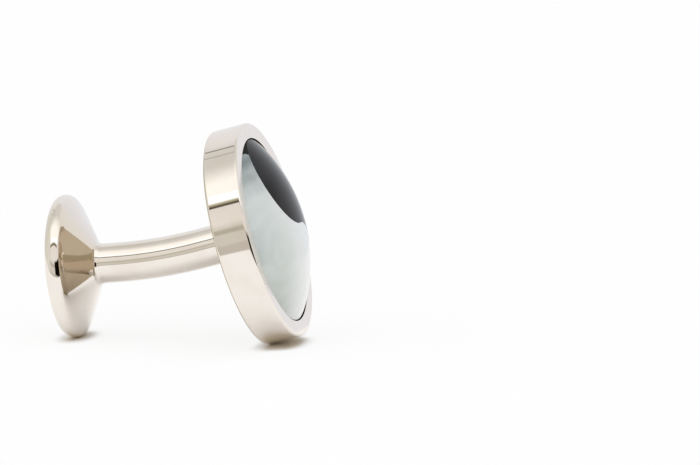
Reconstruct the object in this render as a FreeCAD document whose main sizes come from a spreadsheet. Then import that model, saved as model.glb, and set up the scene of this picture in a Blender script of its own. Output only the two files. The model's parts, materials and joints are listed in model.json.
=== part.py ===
"""A fixed-back cufflink: a round case with a domed two-tone inlay, a bent post and a mushroom button.

The case lies on the tilted +X axis with its face turned up, and the post leaves the middle of its back
plate for the button. The part stands on a flat surface as it lies on a table, on the back edge of the
case and on the rim of the button, with +Z up and the origin under the middle of its box.
"""
import FreeCAD, Part
import math
import os

import Sketcher

SIZES = [
    ("case_radius", "9.0", "outer radius of the round case"),
    ("case_height", "2.93", "case from the back face to the front rim"),
    ("rim_width", "1.3", "width of the flat front rim"),
    ("edge_round", "0.2", "rounding of the outer edges of the case"),
    ("plate_thickness", "0.6", "back plate under the case ring"),
    ("cement_thickness", "0.5", "bed of cement under the inlay"),
    ("inlay_gap", "0.1", "dark gap between the inlay and the ring"),
    ("inlay_recess", "0.1", "edge of the inlay below the front rim"),
    ("inlay_crown", "2.33", "height of the dome above the edge of the inlay"),
    ("joint_line", "0.06", "seam between the two halves of the inlay"),
    ("cut_margin", "2.0", "reach of the inlay's cuts past its outline"),
    ("post_radius", "1.64", "radius of the bent post"),
    ("root_run", "3.48", "straight run of the post at the case"),
    ("bend_radius", "40.0", "radius of the bend along the middle of the post"),
    ("bend_angle", "10.0", "turn of the bend, in degrees"),
    ("end_run", "1.49", "straight run of the post at the button"),
    ("tenon_radius", "0.9", "tenon of the post in the back plate"),
    ("fit_clearance", "0.02", "solder gap round the tenon and inside the collar"),
    ("flange_step", "0.5", "base flange of the collar beyond the post"),
    ("flange_length", "0.3", "length of the base flange"),
    ("flange_round", "0.2", "radius of the flange's crowned edge"),
    ("collar_step", "0.38", "ring of the collar beyond the post"),
    ("collar_length", "0.6", "length of that ring"),
    ("lip_step", "0.2", "thin lip of the collar beyond the post"),
    ("lip_length", "0.15", "length of that lip"),
    ("neck_step", "0.03", "step from the post out to the neck of the button's flare"),
    ("neck_round", "0.47", "hollow rounding between that neck and the flare"),
    ("flare_angle", "65.2", "slope of the flare from the button's axis, in degrees"),
    ("shoulder_round", "2.85", "radius of the soft shoulder from the flare to the crease"),
    ("shoulder_turn", "10.0", "turn of that shoulder, in degrees"),
    ("button_radius", "5.9", "outer radius of the button"),
    ("rim_round", "0.75", "radius of the button's rounded rim"),
    ("dome_height", "1.53", "dome of the button beyond its widest circle"),
]

DERIVED = [
    ("aperture_radius", "=Sizes.case_radius - Sizes.rim_width"),
    ("inlay_radius", "=aperture_radius - Sizes.inlay_gap"),
    ("inlay_seat", "=Sizes.plate_thickness + Sizes.cement_thickness"),
    ("inlay_edge", "=Sizes.case_height - Sizes.inlay_recess"),
    ("inlay_top", "=inlay_edge + Sizes.inlay_crown"),
    ("inlay_dome", "=(inlay_radius * inlay_radius + Sizes.inlay_crown * Sizes.inlay_crown) / (2 * Sizes.inlay_crown)"),
    ("swirl_radius", "=inlay_radius / 2"),
    ("swirl_wide", "=swirl_radius + Sizes.joint_line / 2"),
    ("swirl_narrow", "=swirl_radius - Sizes.joint_line / 2"),
    ("cut_radius", "=inlay_radius + Sizes.cut_margin"),
    ("tenon_hole", "=Sizes.tenon_radius + Sizes.fit_clearance"),
    ("collar_bore", "=Sizes.post_radius + Sizes.fit_clearance"),
    ("flange_radius", "=Sizes.post_radius + Sizes.flange_step"),
    ("collar_radius", "=Sizes.post_radius + Sizes.collar_step"),
    ("lip_radius", "=Sizes.post_radius + Sizes.lip_step"),
    ("collar_seat", "=Sizes.flange_length + Sizes.collar_length"),
    ("lip_end", "=collar_seat + Sizes.lip_length"),
    ("neck_radius", "=Sizes.post_radius + Sizes.neck_step"),
    ("flare_cosine", "=cos(Sizes.flare_angle * 1 deg)"),
    ("flare_sine", "=sin(Sizes.flare_angle * 1 deg)"),
    ("crease_cosine", "=cos((Sizes.flare_angle - Sizes.shoulder_turn) * 1 deg)"),
    ("crease_sine", "=sin((Sizes.flare_angle - Sizes.shoulder_turn) * 1 deg)"),
    ("neck_place", "=Sizes.neck_round * flare_sine"),
    ("neck_level", "=neck_radius + Sizes.neck_round * (1 - flare_cosine)"),
    ("rim_level", "=Sizes.button_radius - Sizes.rim_round"),
    ("rim_place", "=Sizes.rim_round * crease_sine"),
    ("crease_radius", "=rim_level + Sizes.rim_round * crease_cosine"),
    ("shoulder_level", "=crease_radius - Sizes.shoulder_round * (crease_cosine - flare_cosine)"),
    ("shoulder_place", "=neck_place + (shoulder_level - neck_level) * flare_cosine / flare_sine"),
    ("crease_place", "=shoulder_place + Sizes.shoulder_round * (flare_sine - crease_sine)"),
    ("button_depth", "=rim_place + Sizes.dome_height"),
    ("dome_reach", "=button_depth - Sizes.rim_round"),
    ("dome_middle", "=(rim_place * rim_place + rim_level * rim_level - dome_reach * dome_reach)"
                    " / (2 * (dome_reach - rim_place))"),
    ("dome_radius", "=button_depth + dome_middle"),
    ("dome_share", "=dome_radius / (dome_radius - Sizes.rim_round)"),
    ("dome_start_place", "=(rim_place + dome_middle) * dome_share - dome_middle"),
    ("dome_start_level", "=rim_level * dome_share"),
]

# How an arc turns, and a sketch's own numbers for its axes and for the points of its lines and arcs
LEFT_TURN = "left"
RIGHT_TURN = "right"
AXIS_X, AXIS_Y = range(-1, -3, -1)
START, END, MIDDLE = range(1, 4)

doc = FreeCAD.newDocument("Cufflink")


def fill_sheet(name, rows):
    """Makes a sheet with one named cell to a row."""
    sheet = doc.addObject("Spreadsheet::Sheet", name)
    for number, (alias, text, *note) in enumerate(rows, start=1):
        sheet.set(f"A{number}", alias)
        sheet.set(f"B{number}", text)
        sheet.setAlias(f"B{number}", alias)
        for words in note:
            sheet.set(f"C{number}", words)
    doc.recompute()
    return sheet


sizes = fill_sheet("Sizes", SIZES)
derived = fill_sheet("Derived", DERIVED)


def number(expression):
    """Gives an expression's value with the sheets as they stand."""
    return float(sizes.evalExpression(expression))


def new_body(label):
    body = doc.addObject("PartDesign::Body", label)
    body.Label = label
    return body


def new_sketch(body, name, role):
    """Makes a sketch on one of the body's own origin planes."""
    sketch = body.newObject("Sketcher::SketchObject", name)
    plane = next(feature for feature in body.Origin.OriginFeatures if feature.Role == role)
    sketch.AttachmentSupport = (plane, "")
    sketch.MapMode = "FlatFace"
    return sketch


def bind(sketch, expression, *constraint):
    """Adds a dimension and ties it to the sheets."""
    index = sketch.addConstraint(Sketcher.Constraint(*constraint, number(expression)))
    sketch.setExpression(f"Constraints[{index}]", expression)


def pin(sketch, geometry, end, place):
    """Holds one point of a sketch at a place, with a zero or a leading minus sign read as on or past an axis."""
    for kind, axis, expression in (("DistanceX", AXIS_Y, place[0]), ("DistanceY", AXIS_X, place[1])):
        if expression == "0":
            sketch.addConstraint(Sketcher.Constraint("PointOnObject", geometry, end, axis))
        elif expression.startswith("-"):
            bind(sketch, expression[1:], kind, geometry, end, AXIS_X, START)
        else:
            bind(sketch, expression, kind, AXIS_X, START, geometry, end)


def arc_between(start, stop, radius, turn):
    """Gives the short arc from start to stop that turns to the left or to the right."""
    chord = stop - start
    across = FreeCAD.Vector(-chord.y, chord.x, 0).normalize()
    height = math.sqrt(max(radius ** 2 - (chord.Length / 2) ** 2, 0))
    middle = (start + stop) / 2 + across * (height if turn == LEFT_TURN else -height)
    first, last = (start, stop) if turn == LEFT_TURN else (stop, start)
    angles = [math.atan2(point.y - middle.y, point.x - middle.x) for point in (first, last)]
    circle = Part.Circle(middle, FreeCAD.Vector(0, 0, 1), radius)
    return Part.ArcOfCircle(circle, *angles)


def draw_outline(sketch, corners, arcs):
    """Draws a closed outline through the corners; arcs gives the radius and turn of the edges that are round."""
    points = [FreeCAD.Vector(number(across), number(up), 0) for across, up in corners]
    edges = []
    for index, start in enumerate(points):
        stop = points[(index + 1) % len(points)]
        if index in arcs:
            radius, turn = arcs[index]
            geometry = sketch.addGeometry(arc_between(start, stop, number(radius), turn))
            edges.append((geometry, START, END) if turn == LEFT_TURN else (geometry, END, START))
        else:
            geometry = sketch.addGeometry(Part.LineSegment(start, stop))
            edges.append((geometry, START, END))
    for index, (geometry, first, last) in enumerate(edges):
        following, its_first, _ = edges[(index + 1) % len(edges)]
        sketch.addConstraint(Sketcher.Constraint("Coincident", geometry, last, following, its_first))
        pin(sketch, geometry, first, corners[index])
        if index in arcs:
            bind(sketch, arcs[index][0], "Radius", geometry)


def turned_body(label, corners, arcs):
    """Makes a piece that is turned on a lathe about its X axis, from half of its section."""
    body = new_body(label)
    sketch = new_sketch(body, label + "_section", "XZ_Plane")
    draw_outline(sketch, corners, arcs)
    turned = body.newObject("PartDesign::Revolution", label + "_turned")
    turned.Profile = sketch
    turned.ReferenceAxis = (sketch, ["H_Axis"])
    turned.Angle = 360
    return body


def make_back_plate():
    return turned_body("back_plate", [
        ("0", "Derived.tenon_hole"),
        ("Sizes.plate_thickness", "Derived.tenon_hole"),
        ("Sizes.plate_thickness", "Sizes.case_radius"),
        ("Sizes.edge_round", "Sizes.case_radius"),
        ("0", "Sizes.case_radius - Sizes.edge_round"),
    ], {3: ("Sizes.edge_round", LEFT_TURN)})


def make_case_ring():
    return turned_body("case_ring", [
        ("Sizes.plate_thickness", "Derived.aperture_radius"),
        ("Sizes.case_height", "Derived.aperture_radius"),
        ("Sizes.case_height", "Sizes.case_radius - Sizes.edge_round"),
        ("Sizes.case_height - Sizes.edge_round", "Sizes.case_radius"),
        ("Sizes.plate_thickness", "Sizes.case_radius"),
    ], {2: ("Sizes.edge_round", LEFT_TURN)})


def make_cement_bed():
    return turned_body("cement_bed", [
        ("Sizes.plate_thickness", "0"),
        ("Derived.inlay_seat", "0"),
        ("Derived.inlay_seat", "Derived.inlay_radius"),
        ("Sizes.plate_thickness", "Derived.inlay_radius"),
    ], {})


def make_inlay(label, left_swirl, right_swirl, side):
    """Makes one comma of the domed inlay, by cutting the other comma out of the whole dome.

    The cut runs down an S of two half circles, the upper one bulging to the left and the lower one to
    the right as the face is seen, and closes round the outside on the given side.
    """
    body = turned_body(label, [
        ("Derived.inlay_seat", "0"),
        ("Derived.inlay_top", "0"),
        ("Derived.inlay_edge", "Derived.inlay_radius"),
        ("Derived.inlay_seat", "Derived.inlay_radius"),
    ], {1: ("Derived.inlay_dome", LEFT_TURN)})
    whole = body.Tip
    sketch = new_sketch(body, label + "_swirl", "YZ_Plane")
    up, down = FreeCAD.Vector(0, 1, 0), FreeCAD.Vector(0, -1, 0)
    normal = FreeCAD.Vector(0, 0, 1)
    middle = number("Derived.swirl_radius")
    reach = number("Derived.cut_radius")
    upper_radius, lower_radius = number(left_swirl), number(right_swirl)
    quarter = math.pi / 2
    upper = sketch.addGeometry(Part.ArcOfCircle(
        Part.Circle(up * middle, normal, upper_radius), quarter, 3 * quarter))
    lower = sketch.addGeometry(Part.ArcOfCircle(
        Part.Circle(down * middle, normal, lower_radius), -quarter, quarter))
    outside = sketch.addGeometry(Part.ArcOfCircle(
        Part.Circle(FreeCAD.Vector(), normal, reach), -quarter * side, quarter * side))
    outer_top, outer_bottom = (END, START) if side > 0 else (START, END)
    top = sketch.addGeometry(Part.LineSegment(up * (middle + upper_radius), up * reach))
    bottom = sketch.addGeometry(Part.LineSegment(down * (middle + lower_radius), down * reach))
    for link in ((upper, END, lower, END), (upper, START, top, START), (lower, START, bottom, START),
                 (top, END, outside, outer_top), (bottom, END, outside, outer_bottom)):
        sketch.addConstraint(Sketcher.Constraint("Coincident", *link))
    sketch.addConstraint(Sketcher.Constraint("Coincident", outside, MIDDLE, AXIS_X, START))
    pin(sketch, upper, MIDDLE, ("0", "Derived.swirl_radius"))
    pin(sketch, lower, MIDDLE, ("0", "-Derived.swirl_radius"))
    for line in (top, bottom):
        sketch.addConstraint(Sketcher.Constraint("PointOnObject", line, START, AXIS_Y))
        sketch.addConstraint(Sketcher.Constraint("PointOnObject", line, END, AXIS_Y))
    bind(sketch, left_swirl, "Radius", upper)
    bind(sketch, "Derived.cut_radius", "Radius", outside)
    pocket = body.newObject("PartDesign::Pocket", label + "_cut")
    pocket.Profile = sketch
    pocket.Type = "ThroughAll"
    pocket.Reversed = True
    doc.recompute()
    if not 0.3 * whole.Shape.Volume < pocket.Shape.Volume < 0.7 * whole.Shape.Volume:
        raise RuntimeError(f"the cut of {label} left {pocket.Shape.Volume} of {whole.Shape.Volume}")
    return body


def make_pearl_inlay():
    return make_inlay("pearl_inlay", "Derived.swirl_wide", "Derived.swirl_narrow", 1)


def make_onyx_inlay():
    return make_inlay("onyx_inlay", "Derived.swirl_narrow", "Derived.swirl_wide", -1)


def make_base_collar():
    return turned_body("base_collar", [
        ("0", "Derived.collar_bore"),
        ("Derived.lip_end", "Derived.collar_bore"),
        ("Derived.lip_end", "Derived.lip_radius"),
        ("Derived.collar_seat", "Derived.lip_radius"),
        ("Derived.collar_seat", "Derived.collar_radius"),
        ("Sizes.flange_length", "Derived.collar_radius"),
        ("Sizes.flange_length", "Derived.flange_radius"),
        ("0", "Derived.flange_radius"),
    ], {6: ("Sizes.flange_round", LEFT_TURN)})


def make_bent_post():
    """Sweeps the post along a straight run, one wide bend and a short straight end, and adds its tenon."""
    body = new_body("bent_post")
    spine = new_sketch(body, "post_spine", "XZ_Plane")
    turn = math.radians(number("Sizes.bend_angle"))
    root, bend, end = (number("Sizes." + name) for name in ("root_run", "bend_radius", "end_run"))
    bend_start = FreeCAD.Vector(root, 0, 0)
    bend_middle = FreeCAD.Vector(root, bend, 0)
    bend_end = bend_start + FreeCAD.Vector(bend * math.sin(turn), bend * (1 - math.cos(turn)), 0)
    post_end = bend_end + FreeCAD.Vector(end * math.cos(turn), end * math.sin(turn), 0)
    straight = spine.addGeometry(Part.LineSegment(FreeCAD.Vector(), bend_start))
    curve = spine.addGeometry(Part.ArcOfCircle(
        Part.Circle(bend_middle, FreeCAD.Vector(0, 0, 1), bend), -math.pi / 2, turn - math.pi / 2))
    last = spine.addGeometry(Part.LineSegment(bend_end, post_end))
    spine.addConstraint(Sketcher.Constraint("Coincident", straight, START, AXIS_X, START))
    spine.addConstraint(Sketcher.Constraint("PointOnObject", straight, END, AXIS_X))
    spine.addConstraint(Sketcher.Constraint("Tangent", straight, END, curve, START))
    spine.addConstraint(Sketcher.Constraint("Tangent", curve, END, last, START))
    bind(spine, "Sizes.root_run", "Distance", straight)
    bind(spine, "Sizes.bend_radius", "Radius", curve)
    bind(spine, "Sizes.end_run", "Distance", last)
    index = spine.addConstraint(Sketcher.Constraint("Angle", straight, START, last, START, turn))
    spine.setExpression(f"Constraints[{index}]", "Sizes.bend_angle * 1 deg")
    section = new_sketch(body, "post_section", "YZ_Plane")
    circle = section.addGeometry(Part.Circle(FreeCAD.Vector(), FreeCAD.Vector(0, 0, 1), number("Sizes.post_radius")))
    section.addConstraint(Sketcher.Constraint("Coincident", circle, MIDDLE, AXIS_X, START))
    bind(section, "Sizes.post_radius", "Radius", circle)
    pipe = body.newObject("PartDesign::AdditivePipe", "post_sweep")
    pipe.Profile = section
    pipe.Spine = spine
    doc.recompute()
    tenon_section = new_sketch(body, "tenon_section", "YZ_Plane")
    circle = tenon_section.addGeometry(
        Part.Circle(FreeCAD.Vector(), FreeCAD.Vector(0, 0, 1), number("Sizes.tenon_radius")))
    tenon_section.addConstraint(Sketcher.Constraint("Coincident", circle, MIDDLE, AXIS_X, START))
    bind(tenon_section, "Sizes.tenon_radius", "Radius", circle)
    tenon = body.newObject("PartDesign::Pad", "tenon")
    tenon.Profile = tenon_section
    tenon.Reversed = True
    tenon.setExpression("Length", "Sizes.plate_thickness")
    return body


def make_button_flare():
    return turned_body("button_flare", [
        ("0", "0"),
        ("Derived.crease_place", "0"),
        ("Derived.crease_place", "Derived.crease_radius"),
        ("Derived.shoulder_place", "Derived.shoulder_level"),
        ("Derived.neck_place", "Derived.neck_level"),
        ("0", "Derived.neck_radius"),
    ], {2: ("Sizes.shoulder_round", LEFT_TURN), 4: ("Sizes.neck_round", RIGHT_TURN)})


def make_button_dome():
    return turned_body("button_dome", [
        ("0", "0"),
        ("Derived.button_depth", "0"),
        ("Derived.dome_start_place", "Derived.dome_start_level"),
        ("0", "Derived.crease_radius"),
    ], {1: ("Derived.dome_radius", LEFT_TURN), 2: ("Sizes.rim_round", LEFT_TURN)})


def post_end():
    """Gives the end of the post's middle line, as seen from the back plate, with +X towards the button."""
    turn = math.radians(number("Sizes.bend_angle"))
    root, bend, end = (number("Sizes." + name) for name in ("root_run", "bend_radius", "end_run"))
    along = root + bend * math.sin(turn) + end * math.cos(turn)
    rise = bend * (1 - math.cos(turn)) + end * math.sin(turn)
    return FreeCAD.Vector(along, 0, rise)


def resting_tilt():
    """Gives the case's tilt and lift, in degrees and mm, when its back edge and the button's rim share a floor.

    Both are rounded rings. The lowest point of a ring lies under its middle by its level times the
    cosine of its tilt, and by its rounding, so the condition is one sine and one cosine of the tilt.
    """
    turn = math.radians(number("Sizes.bend_angle"))
    end = post_end()
    button_run = number("Derived.crease_place + Derived.rim_place")
    rim_along = end.x + button_run * math.cos(turn)
    rim_up = end.z + button_run * math.sin(turn)
    rim_level, rim_round = number("Derived.rim_level"), number("Sizes.rim_round")
    edge_round = number("Sizes.edge_round")
    edge_level = number("Sizes.case_radius") - edge_round
    sine_share = edge_round + rim_along + rim_level * math.sin(turn)
    cosine_share = rim_level * math.cos(turn) - edge_level - rim_up
    size = math.hypot(sine_share, cosine_share)
    tilt = math.asin((edge_round - rim_round) / size) - math.atan2(cosine_share, sine_share)
    lift = edge_level * math.cos(tilt) + edge_round - edge_round * math.sin(tilt)
    return math.degrees(tilt), lift


AXIS_OF_Y = FreeCAD.Vector(0, 1, 0)
AXIS_OF_Z = FreeCAD.Vector(0, 0, 1)

case_pieces = [make_back_plate(), make_case_ring(), make_cement_bed(), make_pearl_inlay(), make_onyx_inlay()]
post_pieces = [make_base_collar(), make_bent_post()]
flare = make_button_flare()
dome = make_button_dome()
pieces = case_pieces + post_pieces + [flare, dome]
doc.recompute()


def place_pieces(middle):
    """Tilts and lifts the whole part to its rest, with the given place along X over the origin."""
    tilt, lift = resting_tilt()
    case_place = FreeCAD.Placement(FreeCAD.Vector(-middle, 0, lift), FreeCAD.Rotation(AXIS_OF_Y, -tilt))
    post_place = case_place * FreeCAD.Placement(FreeCAD.Vector(), FreeCAD.Rotation(AXIS_OF_Z, 180))
    bend = FreeCAD.Rotation(AXIS_OF_Y, -number("Sizes.bend_angle"))
    flare_place = post_place * FreeCAD.Placement(post_end(), bend)
    crease = FreeCAD.Vector(number("Derived.crease_place"), 0, 0)
    dome_place = flare_place * FreeCAD.Placement(crease, FreeCAD.Rotation())
    for piece in case_pieces:
        piece.Placement = case_place
    for piece in post_pieces:
        piece.Placement = post_place
    flare.Placement = flare_place
    dome.Placement = dome_place
    doc.recompute()


def middle_along_x():
    boxes = [piece.Shape.optimalBoundingBox(False) for piece in pieces]
    return (min(box.XMin for box in boxes) + max(box.XMax for box in boxes)) / 2


place_pieces(0)
place_pieces(middle_along_x())

for item in doc.Objects:
    if "Invalid" in item.State or "Error" in item.State:
        raise RuntimeError(f"{item.Label} failed: {item.State}")
for piece in pieces:
    if piece.Shape.isNull() or not piece.Shape.isValid() or len(piece.Shape.Solids) != 1:
        raise RuntimeError(f"{piece.Label} is not one valid solid")

os.makedirs("parts", exist_ok=True)
for piece in pieces:
    piece.Shape.exportStep(f"parts/{piece.Label}.step")
    box = piece.Shape.optimalBoundingBox(False)
    print(f"{piece.Label}: {piece.Shape.Volume:.2f} mm3, x {box.XMin:.3f} to {box.XMax:.3f},"
          f" z {box.ZMin:.3f} to {box.ZMax:.3f}")
print("tilt and lift", resting_tilt())
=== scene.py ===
import json
import math

import bmesh
import bpy
from bpy.props import FloatProperty, FloatVectorProperty, PointerProperty
from mathutils import Matrix, Vector


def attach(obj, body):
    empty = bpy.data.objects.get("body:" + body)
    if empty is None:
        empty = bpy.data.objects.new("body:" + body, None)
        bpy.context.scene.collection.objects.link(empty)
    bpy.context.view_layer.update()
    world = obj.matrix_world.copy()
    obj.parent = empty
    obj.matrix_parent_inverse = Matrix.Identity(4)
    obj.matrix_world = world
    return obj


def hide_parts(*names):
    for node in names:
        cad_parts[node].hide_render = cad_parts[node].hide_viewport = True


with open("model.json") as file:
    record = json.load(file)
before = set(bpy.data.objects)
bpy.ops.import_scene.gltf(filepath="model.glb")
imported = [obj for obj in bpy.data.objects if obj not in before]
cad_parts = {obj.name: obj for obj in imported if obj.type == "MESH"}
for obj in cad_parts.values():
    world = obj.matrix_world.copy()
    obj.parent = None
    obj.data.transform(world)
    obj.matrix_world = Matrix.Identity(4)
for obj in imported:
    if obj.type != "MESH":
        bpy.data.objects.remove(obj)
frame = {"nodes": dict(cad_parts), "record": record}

bl_info = {
    "name": "Cufflink",
    "version": (1, 0, 0),
    "blender": (4, 5, 0),
    "location": "View3D > Sidebar > Cufflink",
    "description": "Builds a fixed-back cufflink with a domed two-tone inlay around its solid model",
    "category": "Object",
}

MM = 0.001
DEGREES = math.degrees(1)
FULL_TURN = 2 * math.pi
HALF_TURN = math.pi
QUARTER_TURN = math.pi / 2

# The ways that the studio is told by: to its front, to its right and up
AHEAD = (0, -1, 0)
ASIDE = (1, 0, 0)
UP = (0, 0, 1)

# How finely round forms are divided
LATHE_STEPS = 256
ARC_STEPS = 10
DOME_STEPS = 40
BEND_STEPS = 32
TUBE_STEPS = 128
SWIRL_STEPS = 72
SWIRL_ROWS = 24

# The two commas as the face is seen, and the share of their height that is wide enough to be polished round
LEFT = -1
RIGHT = 1
TIP_SHARE = 0.9

# Support points beside a corner, points that count as one, and the least turn of a sharp corner
SUPPORT = 0.03 * MM
DOUBLES = 0.0001 * MM
SHARP_CORNER = math.radians(28)

# The body that every piece rides on, and the mount's setback from the back of the case
BODY = "root"
MOUNT_SETBACK = 2.5 * MM

# Soft edges are pairs, of where the edge starts and where it ends

# The soft noise that shows as haze in the plating, clouds in the stone and grit in the cement
HAZE_EDGE = (0.42, 0.72)
CLOUD_EDGE = (0.45, 0.75)
GRIT_EDGE = (0.4, 0.7)

# The depth at which the back plate's darker face of painted shade ends, in millimetres
SHADED_BACK_FACE = (0.03, 0.18)

# The span of the shell's tones in millimetres, and its shares at the face's middle and the sheen's top
SHELL_SPAN = 16
SHELL_MIDDLE = 0.44
SHEEN_TOP = (0.64, 0.8)

# How far clouds in the shell shift its tones, as a share of that span, and its sheen, in millimetres
TONE_SHIFT = 0.12
SHEEN_SHIFT = 1.5

# How strongly the shell's painted sheen and its rings show
SHEEN_SHARE = 0.85
RING_SHARE = 0.2

# The shell's sheen across the face, the middle of its rings and its blunt tip, in millimetres
SHEEN_ACROSS = (-5.6, 0.8)
RING_MIDDLE = (0, -5.0, -1.5)
TIP_HEIGHT = (6.7, 6.82)
TIP_CORNER = (-3.1, -2.4)
TIP_DROP = 0.25

# The sheet's blurred edges, how open the sky is over its painted contact shadow and its white places, and
# the rays that tell
EDGE_BLUR = 3 * MM
PAINTED_SHADOW_SKY = (0.2, 0.7)
WHITE_SKY = (0.4, 0.95)
SKY_RAYS = 8

# The mean square of the sky's height over a level sheet
MEAN_SQUARE = 0.5

# The studio that polish sees, in degrees of turn from the front to the right and of rise above the floor
FRONT_LEFT = (-50, -20)
FRONT_RIGHT = (55, 75)
CREAM_FOOT = (11, 19)
RAIL_FOOT = (6.5, 8.5)
RAIL_TOP = (10.5, 13)
TABLE_TOP = (-4.5, -2.5)
OPENING_LEFT = (16, 26)
OPENING_RIGHT = (100, 115)
OPENING_FOOT = (-5, -2)
OPENING_TOP = (15, 19)
ROOF_FOOT = (46, 58)

# The folds of the roof's cloth, each by its turn and depth, and half their width at bottom and mouth
FOLDS = ((-130, 0.7), (-116, 0.4))
FOLD_FOOT = (40, 46)
FOLD_BOTTOM = 0.5
FOLD_MOUTH = 2

# The roof's lamp: the slopes of its edges, its turn to the right, the skew of its glow, and its soft edges
LAMP_FRONT = 1.03
LAMP_LEFT = 1.32
LAMP_RIGHT = 1.4
LAMP_TURN = math.radians(14)
LAMP_SKEW = 0.27
LAMP_EDGE = (0.03, 0.06)
LAMP_LEFT_EDGE = (0, 0.03)
LAMP_RIGHT_EDGE = (0, 0.1)
LAMP_GLOW = (-0.2, 0.3)
SHADE_EDGE = (0.24, 0.26)
TRIM_EDGE = (-0.05, 0.03)
SEAM_EDGE = (-0.09, -0.075)
SEAM_LEFT_EDGE = (-0.07, -0.05)
SEAM_TOP = (48, 52)

# Where the front half of the studio starts, for its table and for the lamp's seam
TABLE_SIDE = (-0.1, 0.1)
SEAM_SIDE = (0, 0.1)

# The tones of the studio's wall, by the turn in degrees
WALL_TONES = (
    (-180, (0.86, 0.885, 0.93)),
    (-142, (0.85, 0.845, 0.85)),
    (-124, (0.725, 0.725, 0.70)),
    (-85, (0.725, 0.735, 0.65)),
    (-60, (0.80, 0.80, 0.73)),
    (-15, (0.67, 0.65, 0.59)),
    (12, (0.725, 0.675, 0.63)),
    (80, (0.81, 0.79, 0.82)),
    (112, (0.82, 0.80, 0.75)),
    (134, (0.82, 0.80, 0.76)),
    (152, (0.82, 0.825, 0.865)),
    (180, (0.86, 0.885, 0.93)),
)

WHITE = (1, 1, 1, 1)


def length(name, description, millimetres):
    """Declares a length that a user can change."""
    return FloatProperty(name=name, description=description, default=millimetres * MM, unit="LENGTH",
                         precision=5)


def angle(name, description, degrees):
    """Declares an angle that a user can change."""
    return FloatProperty(name=name, description=description, default=math.radians(degrees), subtype="ANGLE")


def share(name, description, default):
    """Declares a share that a user can change."""
    return FloatProperty(name=name, description=description, default=default, subtype="FACTOR", min=0, max=1)


def colour(name, description, default):
    """Declares a colour that a user can change."""
    return FloatVectorProperty(name=name, description=description, default=default, subtype="COLOR", size=3,
                               min=0, max=1)


def studio_tone(name, description, default):
    """Declares a tone of the studio, which may be brighter than white."""
    return FloatVectorProperty(name=name, description=description, default=default, subtype="COLOR", size=3,
                               min=0, soft_max=1)


class CaseSizes(bpy.types.PropertyGroup):
    case_radius: length("Case radius", "Outer radius of the round case", 9.0)
    case_height: length("Case height", "Case from the back face to the front rim", 2.93)
    rim_width: length("Rim width", "Width of the flat front rim", 1.3)
    edge_round: length("Edge rounding", "Rounding of the outer edges of the case", 0.2)
    mouth_round: length("Mouth rounding", "Rounding of the edge round the inlay", 0.08)
    plate_thickness: length("Plate thickness", "Back plate under the case ring", 0.6)
    plate_hole: length("Plate hole", "Radius of the hole for the post's tenon", 0.92)


class InlaySizes(bpy.types.PropertyGroup):
    seat: length("Seat", "Height of the inlay's flat back above the back of the case", 1.1)
    radius: length("Radius", "Outer radius of the inlay", 7.6)
    top: length("Top", "Height of the dome's middle above the back of the case", 5.16)
    dome_radius: length("Dome radius", "Radius of the polished dome", 13.5598)
    edge_break: length("Edge break", "Width of the polished break along the borders", 0.08)
    seam: length("Seam", "Gap between the two halves", 0.02)


class PostSizes(bpy.types.PropertyGroup):
    radius: length("Post radius", "Radius of the bent post", 1.64)
    root_run: length("Root run", "Straight run of the post at the case", 3.48)
    bend_radius: length("Bend radius", "Radius of the bend along the middle of the post", 40.0)
    bend_angle: angle("Bend", "Turn of the bend", 10)
    end_run: length("End run", "Straight run of the post at the button", 1.49)
    tenon_radius: length("Tenon radius", "Tenon of the post in the back plate", 0.9)
    tenon_length: length("Tenon length", "Length of that tenon", 0.6)


class CollarSizes(bpy.types.PropertyGroup):
    bore: length("Bore", "Radius of the collar's bore", 1.66)
    flange_radius: length("Flange radius", "Base flange of the collar", 2.14)
    flange_length: length("Flange length", "Length of the base flange", 0.3)
    flange_round: length("Flange rounding", "Radius of the flange's crowned edge", 0.2)
    ring_radius: length("Ring radius", "Ring of the collar above the flange", 2.02)
    ring_length: length("Ring length", "Length of that ring", 0.6)
    lip_radius: length("Lip radius", "Thin lip where the post leaves the collar", 1.84)
    lip_length: length("Lip length", "Length of that lip", 0.15)
    edge_break: length("Edge break", "Polished break of the collar's edges", 0.04)


class ButtonSizes(bpy.types.PropertyGroup):
    neck_radius: length("Neck radius", "Neck of the flare at the end of the post", 1.67)
    neck_round: length("Neck rounding", "Hollow rounding between that neck and the flare", 0.47)
    flare_angle: angle("Flare", "Slope of the flare from the button's axis", 65.2)
    shoulder_round: length("Shoulder", "Radius of the soft shoulder from the flare to the crease", 2.85)
    shoulder_turn: angle("Shoulder turn", "Turn of that shoulder", 10)
    button_radius: length("Button radius", "Outer radius of the button", 5.9)
    rim_round: length("Rim rounding", "Radius of the button's rounded rim", 0.75)
    dome_height: length("Dome height", "Dome beyond the widest circle", 1.53)


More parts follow.
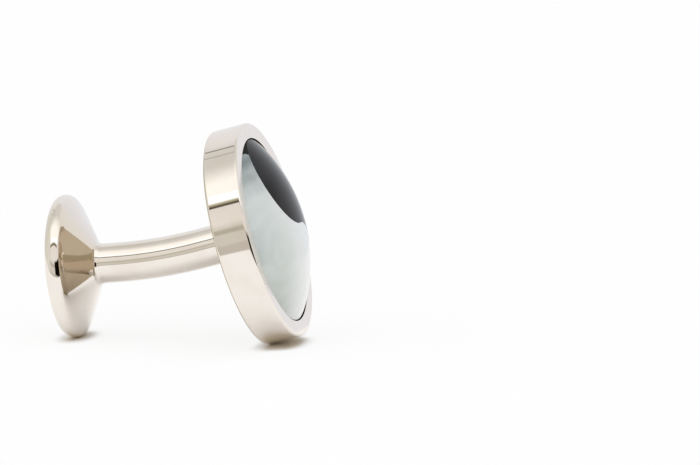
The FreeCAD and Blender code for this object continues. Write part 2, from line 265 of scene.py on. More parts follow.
class Finishes(bpy.types.PropertyGroup):
    plating: colour("Plating", "Warm polished plating", (0.90, 0.84, 0.775))
    plating_haze: colour("Plating haze", "Plating where the polish is clouded", (0.87, 0.805, 0.735))
    # Darker, browner back plating: painted shade standing in for the darker light that the back reflects
    plating_back_shade: colour("Back plating", "Duller plating on the back of the case", (0.52, 0.44, 0.33))
    # The tail's dark blue is partly the shell's own tone, partly painted shade beside the rim
    pearl_blue_and_shade: colour("Blue shell", "Slate blue of the shell's tail", (0.13, 0.17, 0.18))
    pearl_pale: colour("Pale shell", "Pale middle of the shell", (0.56, 0.61, 0.605))
    pearl_green: colour("Green shell", "Green grey of the shell's round end", (0.54, 0.585, 0.55))
    pearl_shade: colour("Shaded shell", "Lower edge of the shell", (0.40, 0.43, 0.39))
    # Painted sheen: paler shell across the face, partly the shell's own paler middle
    painted_pearl_sheen: colour("Shell sheen", "Paler shell across the middle of the face", (0.86, 0.875, 0.86))
    pearl_ring: colour("Shell rings", "Faint growth rings of the shell", (0.66, 0.71, 0.69))
    onyx: colour("Black stone", "Polished black stone", (0.006, 0.006, 0.007))
    onyx_cloud: colour("Stone cloud", "Faint clouds in the black stone", (0.016, 0.017, 0.019))
    cement_dark: colour("Dark cement", "Cement in the shell's blunt tip", (0.008, 0.007, 0.006))
    cement: colour("Cement", "Dull cement under the inlay", (0.030, 0.027, 0.024))
    cement_grit: colour("Cement grit", "Grit in the cement", (0.075, 0.068, 0.060))
    plating_roughness: share("Plating roughness", "Roughness of the clean polish", 0.035)
    haze_roughness: share("Haze roughness", "What the haze adds to it", 0.03)
    mark_roughness: share("Mark roughness", "What hair-fine marks add to it", 0.015)
    pearl_roughness: share("Shell roughness", "Roughness of the polished shell", 0.08)
    pearl_coat: share("Shell coat", "Clear gloss over the shell", 0.6)
    tip_roughness: share("Tip roughness", "What cement in the shell's tip adds to its roughness", 0.9)
    onyx_roughness: share("Stone roughness", "Roughness of the polished stone", 0.05)
    onyx_gloss: share("Stone gloss", "How strongly the stone reflects", 0.10)
    cement_roughness: share("Cement roughness", "Roughness of the cement", 0.7)
    grit_roughness: share("Grit roughness", "What the grit adds to it", 0.25)


class StageSettings(bpy.types.PropertyGroup):
    azimuth: angle("Azimuth", "Camera's turn round the object", 11.80)
    elevation: angle("Elevation", "Camera's height above the floor", 7.73)
    distance: length("Distance", "Camera from the aim point", 450.0)
    aim_right: length("Aim right", "Aim point to the right of the origin", 14.0503)
    aim_up: length("Aim up", "Aim point above the origin", 8.8305)
    lens: FloatProperty(name="Lens", description="Focal length of the camera", default=281.376,
                        unit="CAMERA")
    near_clip: length("Near clip", "Nearest place that the camera sees", 10.0)
    floor_reach: length("Floor reach", "Half the width of the floor", 6000.0)
    floor_tone: colour("Floor", "White sheet that the object stands on", (0.97, 0.97, 0.97))
    floor_roughness: share("Floor roughness", "Roughness of that sheet", 0.9)
    # A painted contact shadow: the sheet turns browner close under the object
    painted_contact_shadow: colour("Contact", "Browner sheet close under the object", (0.80, 0.73, 0.60))
    floor_glow: share("Floor glow", "How far the sheet's white hides shadows", 0.85)
    shadow_reach: length("Shadow reach", "How far from the object the sheet is shaded", 1.4)
    polish_reach: length("Polish reach", "The same, as polish sees the sheet", 14.0)
    sheet_front: length("Sheet front", "Front edge of the sheet as polish sees it", 48.0)
    sheet_back: length("Sheet back", "Back edge of the sheet as polish sees it", 70.0)
    front_light: share("Front light", "How much more light comes from the front", 0.6)
    top_light: share("Top light", "How much more light comes from above", 0.8)
    lamp_tone: studio_tone("Lamp", "Bright front of the lamp in the studio's roof", (1.2, 1.25, 1.36))
    shade_tone: studio_tone("Lamp shade", "Lit cloth behind that front", (1.15, 1.14, 1.11))
    trim_tone: studio_tone("Trim", "Olive trim along the lamp's front", (0.60, 0.57, 0.42))
    roof_tone: studio_tone("Roof", "Dimmer cloth of the roof", (0.71, 0.695, 0.66))
    table_tone: studio_tone("Table", "Table in front of the sheet", (0.59, 0.555, 0.50))
    cream_tone: studio_tone("Cream", "Upper part of the wall in front", (0.86, 0.83, 0.79))
    rail_tone: studio_tone("Rail", "Low rail along the wall in front", (0.505, 0.475, 0.40))
    seam_tone: studio_tone("Seam", "Dark edge of the roof's lamp", (0.10, 0.085, 0.06))
    dark_tone: studio_tone("Dark", "Dark opening in the front wall", (0.004, 0.003, 0.002))


PLACES = {
    "cufflink_case": CaseSizes,
    "cufflink_inlay": InlaySizes,
    "cufflink_post": PostSizes,
    "cufflink_collar": CollarSizes,
    "cufflink_button": ButtonSizes,
    "cufflink_finishes": Finishes,
    "cufflink_stage": StageSettings,
}


def case_place():
    """Gives the frame of the case, from the middle of its back: X out of its face, Y across it."""
    mount = frame["record"]["mounts"][0]
    out = -Vector(mount["axis"]).normalized()
    across = Vector((0, 1, 0))
    up = out.cross(across)
    middle = Vector(mount["pos_m"]) + out * MOUNT_SETBACK
    return Matrix.Translation(middle) @ Matrix((out, across, up)).transposed().to_4x4()


def post_place():
    """Gives the frame of the post: X towards the button, Z on the side that it bends to."""
    return case_place() @ Matrix.Rotation(HALF_TURN, 4, "Z")


def flare_place():
    """Gives the frame of the button's flare, at the end of the post."""
    post = bpy.context.scene.cufflink_post
    turn = post.bend_angle
    along = post.root_run + post.bend_radius * math.sin(turn) + post.end_run * math.cos(turn)
    rise = post.bend_radius * (1 - math.cos(turn)) + post.end_run * math.sin(turn)
    return post_place() @ Matrix.Translation((along, 0, rise)) @ Matrix.Rotation(-turn, 4, "Y")


def crease_angle(button):
    """Gives the slope at the crease between the button's flare and its dome."""
    return button.flare_angle - button.shoulder_turn


def flare_shoulder(button):
    """Gives where the shoulder of the flare starts, and the middle that it turns about."""
    slope, last = button.flare_angle, crease_angle(button)
    crease = button.button_radius - button.rim_round * (1 - math.cos(last))
    middle_out = crease - button.shoulder_round * math.cos(last)
    start_out = middle_out + button.shoulder_round * math.cos(slope)
    neck_out = button.neck_radius + button.neck_round * (1 - math.cos(slope))
    start = button.neck_round * math.sin(slope) + (start_out - neck_out) / math.tan(slope)
    middle = start + button.shoulder_round * math.sin(slope)
    return Vector((start, 0, start_out)), Vector((middle, 0, middle_out))


def flare_crease(button):
    """Gives the crease between the flare and the dome: how far along the flare, and its radius."""
    last = crease_angle(button)
    _, middle = flare_shoulder(button)
    crease = middle + button.shoulder_round * Vector((-math.sin(last), 0, math.cos(last)))
    return crease.x, crease.z


def dome_place():
    """Gives the frame of the button's dome, in the plane of the crease."""
    along, _ = flare_crease(bpy.context.scene.cufflink_button)
    return flare_place() @ Matrix.Translation((along, 0, 0))


def last_vert(made):
    """Gives the vertex that a spin ended on."""
    return next(item for item in made["geom_last"] if isinstance(item, bmesh.types.BMVert))


def verts_of(geometry):
    return [item for item in geometry if isinstance(item, bmesh.types.BMVert)]


def faces_of(geometry):
    return [item for item in geometry if isinstance(item, bmesh.types.BMFace)]


class Pen:
    """Draws half of a turned piece's section as wire, along the turning axis and out from it."""

    def __init__(self, mesh, along, out):
        self.mesh = mesh
        self.tip = mesh.verts.new((along, 0, out))

    def step(self, place):
        made = bmesh.ops.extrude_vert_indiv(self.mesh, verts=[self.tip])
        self.tip = made["verts"][0]
        self.tip.co = place

    def line(self, along, out):
        """Draws a straight run, with a support point close to each end."""
        start, stop = self.tip.co.copy(), Vector((along, 0, out))
        run = stop - start
        inset = run.normalized() * min(SUPPORT, run.length / 4)
        for place in (start + inset, stop - inset, stop):
            self.step(place)

    def arc(self, along, out, turn, steps=ARC_STEPS):
        """Draws an arc about the given middle; a positive turn goes from out towards along."""
        made = bmesh.ops.spin(self.mesh, geom=[self.tip], cent=(along, 0, out), axis=(0, 1, 0), angle=turn,
                              steps=steps)
        self.tip = last_vert(made)


def clean(mesh):
    """Merges the doubles of a mesh and turns its faces outwards."""
    bmesh.ops.remove_doubles(mesh, verts=mesh.verts, dist=DOUBLES)
    bmesh.ops.recalc_face_normals(mesh, faces=mesh.faces)


def turn_on_lathe(mesh):
    """Turns the drawn section once round the X axis."""
    bmesh.ops.spin(mesh, geom=mesh.verts[:] + mesh.edges[:], cent=(0, 0, 0), axis=(1, 0, 0), angle=FULL_TURN,
                   steps=LATHE_STEPS, use_merge=True)
    clean(mesh)


def break_edges(mesh, edges, width, segments=3):
    """Rounds sharp edges a little, as polishing does."""
    bmesh.ops.bevel(mesh, geom=edges, offset=width, offset_type="OFFSET", segments=segments, profile=0.5,
                    affect="EDGES", material=-1, clamp_overlap=True)


def sharp_edges(mesh):
    """Gives the outward edges that are sharper than polishing leaves them."""
    return [edge for edge in mesh.edges
            if len(edge.link_faces) == 2 and edge.calc_face_angle_signed(0) > SHARP_CORNER]


def add_piece(mesh, name, place, material, slot, *nodes):
    """Makes a finished piece of a mesh, in its place, that stands for the given nodes of the model."""
    bmesh.ops.transform(mesh, matrix=place, verts=mesh.verts)
    for face in mesh.faces:
        face.smooth = True
    for edge in mesh.edges:
        edge.smooth = len(edge.link_faces) == 2 and edge.calc_face_angle(0) < SHARP_CORNER
    data = bpy.data.meshes.new(name)
    mesh.to_mesh(data)
    mesh.free()
    data.materials.append(material)
    piece = bpy.data.objects.new(name, data)
    bpy.context.scene.collection.objects.link(piece)
    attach(piece, BODY)
    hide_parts(*nodes)
    return piece


class Strand:
    """A socket of a node tree, on which shader maths is written."""

    def __init__(self, tree, socket=None):
        self.tree = tree
        self.socket = socket

    def node(self, kind, settings, inputs, output=0):
        """Adds a node with its settings and sockets, and gives one of its outputs."""
        made = self.tree.nodes.new(kind)
        for name, value in settings.items():
            if name == "stops":
                self.set_stops(made.color_ramp, value)
            else:
                setattr(made, name, value)
        for name, value in inputs.items():
            if isinstance(value, Strand):
                self.tree.links.new(value.socket, made.inputs[name])
            else:
                made.inputs[name].default_value = value
        return Strand(self.tree, made.outputs[output])

    @staticmethod
    def set_stops(ramp, stops):
        while len(ramp.elements) < len(stops):
            ramp.elements.new(1)
        for element, (place, tone) in zip(ramp.elements, stops):
            element.position = place
            element.color = (*tone, 1) if hasattr(tone, "__len__") else (tone, tone, tone, 1)

    def maths(self, operation, first, second):
        return self.node("ShaderNodeMath", {"operation": operation}, {0: first, 1: second})

    def __add__(self, other):
        return self.maths("ADD", self, other)

    def __radd__(self, other):
        return self.maths("ADD", other, self)

    def __sub__(self, other):
        return self.maths("SUBTRACT", self, other)

    def __rsub__(self, other):
        return self.maths("SUBTRACT", other, self)

    def __mul__(self, other):
        return self.maths("MULTIPLY", self, other)

    def __rmul__(self, other):
        return self.maths("MULTIPLY", other, self)

    def __truediv__(self, other):
        return self.maths("DIVIDE", self, other)

    def __rtruediv__(self, other):
        return self.maths("DIVIDE", other, self)

    def ramp(self, *stops):
        """Gives a tone between stops of place and tone."""
        return self.node("ShaderNodeValToRGB", {"stops": stops}, {"Fac": self})

    def between(self, low, high):
        """Gives 0 at or below low and 1 at or above high, with a smooth step between."""
        return self.node("ShaderNodeMapRange", {"interpolation_type": "SMOOTHSTEP"},
                         {"Value": self, "From Min": low, "From Max": high})

    def within(self, first, last):
        """Gives 1 between two soft edges and 0 outside them."""
        return self.between(*first) * (1 - self.between(*last))

    def mix(self, first, second):
        """Mixes two colours, with this strand as the share of the second."""
        return self.node("ShaderNodeMix", {"data_type": "RGBA"}, {"Factor": self, 6: first, 7: second}, 2)

    def mix_shaders(self, first, second):
        """Mixes two shaders, with this strand as the share of the second."""
        return self.node("ShaderNodeMixShader", {}, {0: self, 1: first, 2: second})

    def noise(self, **sockets):
        """Gives soft noise at the places of this strand."""
        return self.node("ShaderNodeTexNoise", {}, {"Vector": self, **sockets})

    def along(self, axis):
        """Gives one part of a vector: X, Y or Z."""
        return self.node("ShaderNodeSeparateXYZ", {}, {0: self}, axis)

    def part(self, axis):
        """Gives the length of a vector along an axis."""
        return self.node("ShaderNodeVectorMath", {"operation": "DOT_PRODUCT"}, {0: self, 1: axis}, "Value")

    def place(self):
        """Gives the places of the piece that the tree is on."""
        return self.node("ShaderNodeTexCoord", {}, {}, "Object")

    def ray(self, kind):
        """Gives 1 where a ray of the given kind looks."""
        return self.node("ShaderNodeLightPath", {}, {}, f"Is {kind} Ray")


def rgba(tone):
    """Gives an opaque tone."""
    return (*tone, 1)


def new_material(name):
    """Makes a material with its shader, and gives both with a strand to write on."""
    material = bpy.data.materials.new(name)
    material.use_nodes = True
    shader = material.node_tree.nodes["Principled BSDF"]
    return material, shader, Strand(material.node_tree)


def feed(strand, shader, **sockets):
    """Links strands to a shader's sockets, or sets their values; underscores stand for spaces."""
    for name, value in sockets.items():
        socket = shader.inputs[name.replace("_", " ")]
        if isinstance(value, Strand):
            strand.tree.links.new(value.socket, socket)
        else:
            socket.default_value = value


def face_place(strand):
    """Gives a strand of places in the frame of the case, in millimetres."""
    case = case_place()
    return strand.node("ShaderNodeMapping", {"vector_type": "TEXTURE"}, {
        "Vector": strand.place(), "Location": case.translation, "Rotation": case.to_euler(),
        "Scale": (MM, MM, MM)})


def plating_material(name="warm_plating", shaded_back=False):
    """Mirror-polished warm plating with a faint haze and hair-fine marks, darker and browner on the back of
    the case as painted shade.
    """
    found = bpy.data.materials.get(name)
    if found:
        return found
    finishes = bpy.context.scene.cufflink_finishes
    material, shader, strand = new_material(name)
    place = strand.place()
    haze = place.noise(Scale=420.0, Detail=4.0, Roughness=0.55).between(*HAZE_EDGE)
    marks = place.noise(Scale=5200.0, Detail=2.0)
    tone = haze.mix(rgba(finishes.plating), rgba(finishes.plating_haze))
    # The back face gets the darker, browner plating: painted shade
    if shaded_back:
        out = face_place(strand).along("X")
        tone = out.between(*SHADED_BACK_FACE).mix(rgba(finishes.plating_back_shade), tone)
    rough = finishes.plating_roughness + haze * finishes.haze_roughness + marks * finishes.mark_roughness
    feed(strand, shader, Base_Color=tone, Roughness=rough, Metallic=1.0)
    return material


def shell_rings(face):
    """Gives the shell's growth rings about their middle, which lies off the shell's own."""
    place = face.node("ShaderNodeVectorMath", {"operation": "SUBTRACT"}, {0: face, 1: RING_MIDDLE})
    return face.node("ShaderNodeTexWave", {"wave_type": "RINGS", "rings_direction": "X"}, {
        "Vector": place, "Scale": 0.24, "Distortion": 9.0, "Detail": 4.0, "Detail Scale": 0.7})


def shell_material():
    """Polished shell: slate blue at the top, darker there by painted shade, pale in the middle, green grey
    below, with painted sheen and faint growth rings.

    Its tail ends blunt, with dark cement in the tip.
    """
    finishes = bpy.context.scene.cufflink_finishes
    material, shader, strand = new_material("pearl_shell")
    face = face_place(strand)
    across, height = face.along("Y"), face.along("Z")
    cloud = face.noise(Scale=0.28, Detail=3.0, Distortion=0.6)
    up = height / SHELL_SPAN + SHELL_MIDDLE + cloud * TONE_SHIFT
    # The dark blue at the tail's top is partly painted shade beside the rim
    tone = up.ramp((0.10, finishes.pearl_shade), (0.34, finishes.pearl_green), (0.56, finishes.pearl_pale),
                   (0.70, finishes.pearl_pale), (0.88, finishes.pearl_blue_and_shade))
    # Painted sheen: a paler band across the face, partly the shell's own paler middle
    sheen = (across + cloud * SHEEN_SHIFT).between(*SHEEN_ACROSS) * (1 - up.between(*SHEEN_TOP))
    tone = (sheen * SHEEN_SHARE).mix(tone, rgba(finishes.painted_pearl_sheen))
    tone = (shell_rings(face) * RING_SHARE).mix(tone, rgba(finishes.pearl_ring))
    tip = (height + across.between(*TIP_CORNER) * TIP_DROP).between(*TIP_HEIGHT)
    tone = tip.mix(tone, rgba(finishes.cement_dark))
    rough = finishes.pearl_roughness + tip * finishes.tip_roughness
    feed(strand, shader, Base_Color=tone, Roughness=rough, Coat_Weight=(1 - tip) * finishes.pearl_coat)
    return material


def stone_material():
    """Polished black stone with faint clouds."""
    finishes = bpy.context.scene.cufflink_finishes
    material, shader, strand = new_material("black_stone")
    cloud = strand.place().noise(Scale=300.0, Detail=5.0).between(*CLOUD_EDGE)
    tone = cloud.mix(rgba(finishes.onyx), rgba(finishes.onyx_cloud))
    feed(strand, shader, Base_Color=tone, Roughness=finishes.onyx_roughness,
         Specular_IOR_Level=finishes.onyx_gloss)
    return material


def cement_material():
    """Dull dark cement with a fine grit."""
    finishes = bpy.context.scene.cufflink_finishes
    material, shader, strand = new_material("dull_cement")
    grit = strand.place().noise(Scale=9000.0, Detail=3.0)
    tone = grit.between(*GRIT_EDGE).mix(rgba(finishes.cement), rgba(finishes.cement_grit))
    rough = finishes.cement_roughness + grit * finishes.grit_roughness
    feed(strand, shader, Base_Color=tone, Roughness=rough)
    return material


def sheet_material():
    """White sheet, shaded close under the object and painted there with a brown contact shadow, that polish
    sees end in front and behind.
    """
    stage = bpy.context.scene.cufflink_stage
    material, shader, strand = new_material("pale_floor")
    camera, glossy, through = strand.ray("Camera"), strand.ray("Glossy"), strand.ray("Transmission")
    near, far = (strand.node("ShaderNodeAmbientOcclusion", {"samples": SKY_RAYS}, {"Distance": reach}, "AO")
                 for reach in (stage.shadow_reach, stage.polish_reach))
    # Painted contact shadow: the sheet's colour turns brown where the object closes off the sky
    tone = near.between(*PAINTED_SHADOW_SKY).mix(rgba(stage.painted_contact_shadow), rgba(stage.floor_tone))
    feed(strand, shader, Base_Color=tone, Roughness=stage.floor_roughness)
    dull = Strand(strand.tree, shader.outputs[0])
    white = strand.node("ShaderNodeEmission", {}, {"Color": WHITE, "Strength": 1.0})
    bright = camera * near.between(*WHITE_SKY) + (glossy + through) * far.between(*WHITE_SKY)
    lit = (bright * stage.floor_glow).mix_shaders(dull, white)
    front = (-stage.sheet_front - EDGE_BLUR, EDGE_BLUR - stage.sheet_front)
    back = (stage.sheet_back - EDGE_BLUR, EDGE_BLUR + stage.sheet_back)
    ended = glossy * (1 - strand.place().along("Y").within(front, back))
    seen = ended.mix_shaders(lit, strand.node("ShaderNodeBsdfTransparent", {}, {}))
    strand.tree.links.new(seen.socket, strand.tree.nodes["Material Output"].inputs["Surface"])
    return material


class CUFFLINK_OT_back_plate(bpy.types.Operator):
    """Adds the polished back plate of the case"""

    bl_idname = "cufflink.back_plate"
    bl_label = "Back plate"

    def execute(self, context):
        case = context.scene.cufflink_case
        mesh = bmesh.new()
        pen = Pen(mesh, case.plate_thickness, case.plate_hole)
        pen.line(0, case.plate_hole)
        pen.line(0, case.case_radius - case.edge_round)
        pen.arc(case.edge_round, case.case_radius - case.edge_round, QUARTER_TURN)
        pen.line(case.plate_thickness, case.case_radius)
        pen.line(case.plate_thickness, case.plate_hole)
        turn_on_lathe(mesh)
        # This plating is darkened on the plate's back face as painted shade
        plating = plating_material("back_plating", shaded_back=True)
        add_piece(mesh, "polished_back_plate", case_place(), plating, "plated_metal", "back_plate")
        return {"FINISHED"}


class CUFFLINK_OT_case_ring(bpy.types.Operator):
    """Adds the ring of the case, with its flat front rim"""

    bl_idname = "cufflink.case_ring"
    bl_label = "Case ring"

    def execute(self, context):
        case = context.scene.cufflink_case
        mouth = case.case_radius - case.rim_width
        mesh = bmesh.new()
        pen = Pen(mesh, case.plate_thickness, case.case_radius)
        pen.line(case.case_height - case.edge_round, case.case_radius)
        pen.arc(case.case_height - case.edge_round, case.case_radius - case.edge_round, QUARTER_TURN)
        pen.line(case.case_height, mouth + case.mouth_round)
        pen.arc(case.case_height - case.mouth_round, mouth + case.mouth_round, QUARTER_TURN)
        pen.line(case.plate_thickness, mouth)
        pen.line(case.plate_thickness, case.case_radius)
        turn_on_lathe(mesh)
        add_piece(mesh, "polished_case_ring", case_place(), plating_material(), "plated_metal", "case_ring")
        return {"FINISHED"}


class CUFFLINK_OT_cement_bed(bpy.types.Operator):
    """Gives the cement under the inlay its dull finish"""

    bl_idname = "cufflink.cement_bed"
    bl_label = "Cement bed"

    def execute(self, context):
        node = frame["nodes"]["cement_bed"]
        node.data.materials.clear()
        node.data.materials.append(cement_material())
        return {"FINISHED"}


class CUFFLINK_OT_inlay(bpy.types.Operator):
    """Adds the two commas of the domed inlay"""

    bl_idname = "cufflink.inlay"
    bl_label = "Inlay"

    def execute(self, context):
        inlay = context.scene.cufflink_inlay
        pearl = self.comma(inlay, LEFT)
        add_piece(pearl, "pearl_comma", case_place(), shell_material(), "pearl_shell", "pearl_inlay")
        onyx = self.comma(inlay, RIGHT)
        add_piece(onyx, "onyx_comma", case_place(), stone_material(), "black_stone", "onyx_inlay")
        return {"FINISHED"}

    def comma(self, inlay, side):
        """Models the comma on the left or the right of the swirl, as the face is seen."""
        mesh = bmesh.new()
        swirl = inlay.radius / 2
        tip = mesh.verts.new((0, 0, inlay.radius))
        for middle, turn in ((swirl, HALF_TURN), (-swirl, -HALF_TURN)):
            tip = last_vert(bmesh.ops.spin(mesh, geom=[tip], cent=(0, 0, middle), axis=(1, 0, 0), angle=turn,
                                           steps=SWIRL_STEPS))
        outer = mesh.verts.new((0, 0, inlay.radius))
        bmesh.ops.spin(mesh, geom=[outer], cent=(0, 0, 0), axis=(1, 0, 0), angle=-side * HALF_TURN,
                       steps=2 * SWIRL_STEPS)
        lines = set(mesh.edges)
        bmesh.ops.bridge_loops(mesh, edges=mesh.edges[:])
        rungs = [edge for edge in mesh.edges if edge not in lines]
        bmesh.ops.subdivide_edges(mesh, edges=rungs, cuts=SWIRL_ROWS - 1)
        self.raise_dome(mesh, inlay)
        base = bmesh.ops.extrude_face_region(mesh, geom=mesh.faces[:], use_keep_orig=True)["geom"]
        for vert in verts_of(base):
            vert.co.x = inlay.seat
        clean(mesh)
        self.break_border(mesh, inlay)
        bmesh.ops.translate(mesh, verts=mesh.verts, vec=(0, side * inlay.seam / 2, 0))
        return mesh

    @staticmethod
    def raise_dome(mesh, inlay):
        middle = inlay.top - inlay.dome_radius
        for vert in mesh.verts:
            vert.co.x = middle + math.sqrt(inlay.dome_radius ** 2 - vert.co.y ** 2 - vert.co.z ** 2)

    @staticmethod
    def break_border(mesh, inlay):
        """Breaks the border of the polished top, short of the tips, where it has no width."""
        reach = inlay.radius * TIP_SHARE
        border = [edge for edge in sharp_edges(mesh)
                  if all(vert.co.x > inlay.seat and abs(vert.co.z) < reach for vert in edge.verts)]
        break_edges(mesh, border, inlay.edge_break, segments=1)


class CUFFLINK_OT_base_collar(bpy.types.Operator):
    """Adds the stepped collar at the root of the post"""

    bl_idname = "cufflink.base_collar"
    bl_label = "Base collar"

    def execute(self, context):
        collar = context.scene.cufflink_collar
        seat = collar.flange_length + collar.ring_length
        crown = math.asin(collar.flange_length / 2 / collar.flange_round)
        crown_middle = collar.flange_radius - collar.flange_round * math.cos(crown)
        mesh = bmesh.new()
        pen = Pen(mesh, 0, collar.bore)
        pen.line(0, collar.flange_radius)
        pen.arc(collar.flange_length / 2, crown_middle, 2 * crown)
        pen.line(collar.flange_length, collar.ring_radius)
        pen.line(seat, collar.ring_radius)
        pen.line(seat, collar.lip_radius)
        pen.line(seat + collar.lip_length, collar.lip_radius)
        pen.line(seat + collar.lip_length, collar.bore)
        pen.line(0, collar.bore)
        turn_on_lathe(mesh)
        break_edges(mesh, sharp_edges(mesh), collar.edge_break)
        add_piece(mesh, "stepped_collar", post_place(), plating_material(), "plated_metal", "base_collar")
        return {"FINISHED"}


class CUFFLINK_OT_bent_post(bpy.types.Operator):
    """Adds the bent post with its tenon"""

    bl_idname = "cufflink.bent_post"
    bl_label = "Bent post"

    def execute(self, context):
        post = context.scene.cufflink_post
        mesh = bmesh.new()
        upright = Matrix.Rotation(QUARTER_TURN, 4, "Y")
        bmesh.ops.create_circle(mesh, cap_ends=True, segments=TUBE_STEPS, radius=post.radius, matrix=upright)
        root = mesh.faces[:]
        end = bmesh.ops.extrude_face_region(mesh, geom=root, use_keep_orig=True)["geom"]
        self.move(mesh, end, (post.root_run, 0, 0))
        made = bmesh.ops.spin(mesh, geom=faces_of(end), cent=(post.root_run, 0, post.bend_radius),
                              axis=(0, 1, 0), angle=-post.bend_angle, steps=BEND_STEPS)
        last = bmesh.ops.extrude_face_region(mesh, geom=faces_of(made["geom_last"]))["geom"]
        turn = post.bend_angle
        self.move(mesh, last, (post.end_run * math.cos(turn), 0, post.end_run * math.sin(turn)))
        clean(mesh)
        back = min(mesh.faces, key=lambda face: face.calc_center_median().x)
        bmesh.ops.inset_region(mesh, faces=[back], thickness=post.radius - post.tenon_radius)
        tenon = bmesh.ops.extrude_face_region(mesh, geom=[back])["geom"]
        bmesh.ops.delete(mesh, geom=[back], context="FACES_ONLY")
        self.move(mesh, tenon, (-post.tenon_length, 0, 0))
        clean(mesh)
        add_piece(mesh, "swept_post", post_place(), plating_material(), "plated_metal", "bent_post")
        return {"FINISHED"}

    @staticmethod
    def move(mesh, geometry, way):
        bmesh.ops.translate(mesh, verts=verts_of(geometry), vec=way)


class CUFFLINK_OT_button(bpy.types.Operator):
    """Adds the button: its flare and its dome"""

    bl_idname = "cufflink.button"
    bl_label = "Button"

    def execute(self, context):
        button = context.scene.cufflink_button
        self.add_flare(button)
        self.add_dome(button)
        return {"FINISHED"}

    @staticmethod
    def add_flare(button):
        along, _ = flare_crease(button)
        start, middle = flare_shoulder(button)
        mesh = bmesh.new()
        pen = Pen(mesh, 0, 0)
        pen.line(0, button.neck_radius)
        pen.arc(0, button.neck_radius + button.neck_round, -button.flare_angle)
        pen.line(*start.xz)
        pen.arc(*middle.xz, button.shoulder_turn)
        pen.line(along, 0)
        turn_on_lathe(mesh)
        add_piece(mesh, "flared_underside", flare_place(), plating_material(), "plated_metal",
                  "button_flare")

    @staticmethod
    def add_dome(button):
        _, radius = flare_crease(button)
        level = button.button_radius - button.rim_round
        place = button.rim_round * math.sin(crease_angle(button))
        depth = place + button.dome_height
        reach = depth - button.rim_round
        middle = (place ** 2 + level ** 2 - reach ** 2) / (2 * (reach - place))
        dome = math.atan2(level, place + middle)
        rim_turn = QUARTER_TURN - dome + crease_angle(button)
        mesh = bmesh.new()
        pen = Pen(mesh, 0, 0)
        pen.line(0, radius)
        pen.arc(place, level, rim_turn, DOME_STEPS)
        pen.arc(-middle, 0, dome, DOME_STEPS)
        turn_on_lathe(mesh)
        add_piece(mesh, "domed_button", dome_place(), plating_material(), "plated_metal", "button_dome")


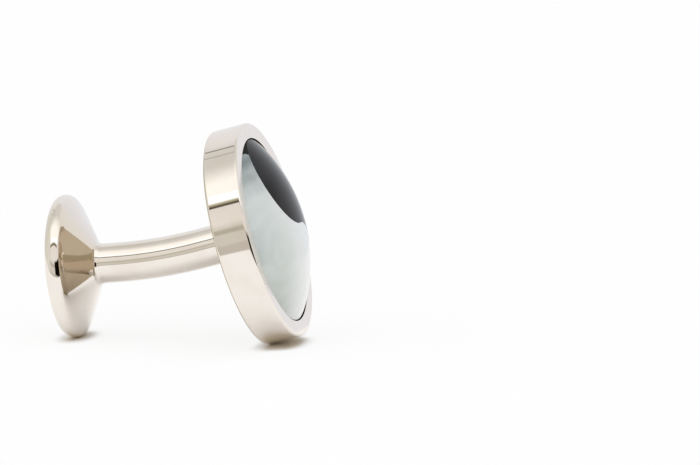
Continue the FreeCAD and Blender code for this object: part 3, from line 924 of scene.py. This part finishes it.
class CUFFLINK_OT_stage(bpy.types.Operator):
    """Sets the floor, the light and the camera"""

    bl_idname = "cufflink.stage"
    bl_label = "Stage"

    def execute(self, context):
        stage = context.scene.cufflink_stage
        self.add_camera(context, stage)
        self.add_floor(context, stage)
        self.light_world(context, stage)
        context.scene.view_settings.view_transform = "Standard"
        return {"FINISHED"}

    @staticmethod
    def add_camera(context, stage):
        """Adds the camera, turned and raised about the aim point."""
        turn, rise = stage.azimuth, stage.elevation
        back = Vector((math.sin(turn) * math.cos(rise), -math.cos(turn) * math.cos(rise), math.sin(rise)))
        right = Vector((math.cos(turn), math.sin(turn), 0))
        up = back.cross(right)
        data = bpy.data.cameras.new("view")
        data.sensor_fit = "HORIZONTAL"
        data.lens = stage.lens
        data.clip_start = stage.near_clip
        camera = bpy.data.objects.new("view", data)
        place = right * stage.aim_right + up * stage.aim_up + back * stage.distance
        camera.matrix_world = Matrix.Translation(place) @ Matrix((right, up, back)).transposed().to_4x4()
        context.scene.collection.objects.link(camera)
        context.scene.camera = camera

    @staticmethod
    def add_floor(context, stage):
        """Adds the white sheet that the object stands on."""
        mesh = bmesh.new()
        bmesh.ops.create_grid(mesh, x_segments=1, y_segments=1, size=stage.floor_reach)
        data = bpy.data.meshes.new("floor")
        mesh.to_mesh(data)
        mesh.free()
        data.materials.append(sheet_material())
        floor = bpy.data.objects.new("floor", data)
        context.scene.collection.objects.link(floor)

    def light_world(self, context, stage):
        """Lights the object softly, more from above and in front; polish sees a studio with a lamp."""
        world = bpy.data.worlds.new("studio")
        world.use_nodes = True
        strand = Strand(world.node_tree)
        way = strand.node("ShaderNodeTexCoord", {}, {}, "Generated")
        ahead, height = way.part(AHEAD), way.part(UP)
        soft = 1 + ahead * stage.front_light + (height * height - MEAN_SQUARE) * stage.top_light
        light = strand.ray("Camera").mix(soft, WHITE)
        studio = self.hang_lamp(stage, way, self.studio_walls(stage, way))
        light = strand.ray("Glossy").mix(light, studio)
        feed(strand, world.node_tree.nodes["Background"], Color=light)
        context.scene.world = world

    @staticmethod
    def rise(way):
        """Gives how far above the floor a direction points, in degrees."""
        return way.maths("ARCSINE", way.part(UP), 0) * DEGREES

    def studio_walls(self, stage, way):
        """Gives the tones of the studio's walls, table and roof."""
        ahead, rise = way.part(AHEAD), self.rise(way)
        turn = way.maths("ARCTAN2", way.part(ASIDE), ahead) * DEGREES
        tone = (turn / 360 + 0.5).ramp(*((place / 360 + 0.5, wall) for place, wall in WALL_TONES))
        front = turn.within(FRONT_LEFT, FRONT_RIGHT)
        tone = (front * rise.between(*CREAM_FOOT)).mix(tone, rgba(stage.cream_tone))
        tone = (front * rise.within(RAIL_FOOT, RAIL_TOP)).mix(tone, rgba(stage.rail_tone))
        table = ahead.between(*TABLE_SIDE) * (1 - rise.between(*TABLE_TOP))
        tone = table.mix(tone, rgba(stage.table_tone))
        opening = turn.within(OPENING_LEFT, OPENING_RIGHT) * rise.within(OPENING_FOOT, OPENING_TOP)
        tone = opening.mix(tone, rgba(stage.dark_tone))
        tone = rise.between(*ROOF_FOOT).mix(tone, rgba(stage.roof_tone))
        for place, depth in FOLDS:
            left = (place - FOLD_MOUTH, place - FOLD_BOTTOM)
            right = (place + FOLD_BOTTOM, place + FOLD_MOUTH)
            fold = turn.within(left, right)
            tone = (fold * rise.between(*FOLD_FOOT) * depth).mix(tone, rgba(stage.seam_tone))
        return tone

    def hang_lamp(self, stage, way, tone):
        """Gives the studio's tones with the lamp in its roof, and the lamp's olive trim and dark seam."""
        ahead, aside, height = way.part(AHEAD), way.part(ASIDE), way.part(UP)
        lamp_way = (math.sin(LAMP_TURN), -math.cos(LAMP_TURN), 0)
        edge = height - way.part(lamp_way) * LAMP_FRONT
        left = height + aside * LAMP_LEFT
        right = (height * LAMP_RIGHT - aside).between(*LAMP_RIGHT_EDGE)
        lamp = edge.between(*LAMP_EDGE) * left.between(*LAMP_LEFT_EDGE) * right
        border = edge.between(*SEAM_EDGE) * left.between(*SEAM_LEFT_EDGE) * right * (1 - lamp)
        border = border * (1 - self.rise(way).between(*SEAM_TOP)) * ahead.between(*SEAM_SIDE)
        trim = edge.between(*TRIM_EDGE).mix(rgba(stage.seam_tone), rgba(stage.trim_tone))
        tone = border.mix(tone, trim)
        glow = (ahead + aside * LAMP_SKEW).between(*LAMP_GLOW)
        shine = edge.between(*SHADE_EDGE).mix(rgba(stage.lamp_tone), rgba(stage.shade_tone))
        return (lamp * glow).mix(tone, shine)


class CUFFLINK_PT_panel(bpy.types.Panel):
    """Lists the cufflink's pieces and their sizes"""

    bl_idname = "CUFFLINK_PT_panel"
    bl_label = "Cufflink"
    bl_space_type = "VIEW_3D"
    bl_region_type = "UI"
    bl_category = "Cufflink"

    def draw(self, context):
        layout = self.layout
        for operator in OPERATORS:
            layout.operator(operator.bl_idname)
        for place, group in PLACES.items():
            box = layout.box()
            for name in group.__annotations__:
                box.prop(getattr(context.scene, place), name)


OPERATORS = (
    CUFFLINK_OT_back_plate,
    CUFFLINK_OT_case_ring,
    CUFFLINK_OT_cement_bed,
    CUFFLINK_OT_inlay,
    CUFFLINK_OT_base_collar,
    CUFFLINK_OT_bent_post,
    CUFFLINK_OT_button,
    CUFFLINK_OT_stage,
)


def register():
    for made in (*PLACES.values(), *OPERATORS, CUFFLINK_PT_panel):
        bpy.utils.register_class(made)
    for place, group in PLACES.items():
        setattr(bpy.types.Scene, place, PointerProperty(type=group))


def unregister():
    for place in PLACES:
        delattr(bpy.types.Scene, place)
    for made in (CUFFLINK_PT_panel, *reversed(OPERATORS), *reversed(PLACES.values())):
        bpy.utils.unregister_class(made)


def main():
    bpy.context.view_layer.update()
    register()
    for operator in OPERATORS:
        group, name = operator.bl_idname.split(".")
        getattr(getattr(bpy.ops, group), name)()


if __name__ == "__main__":
    main()
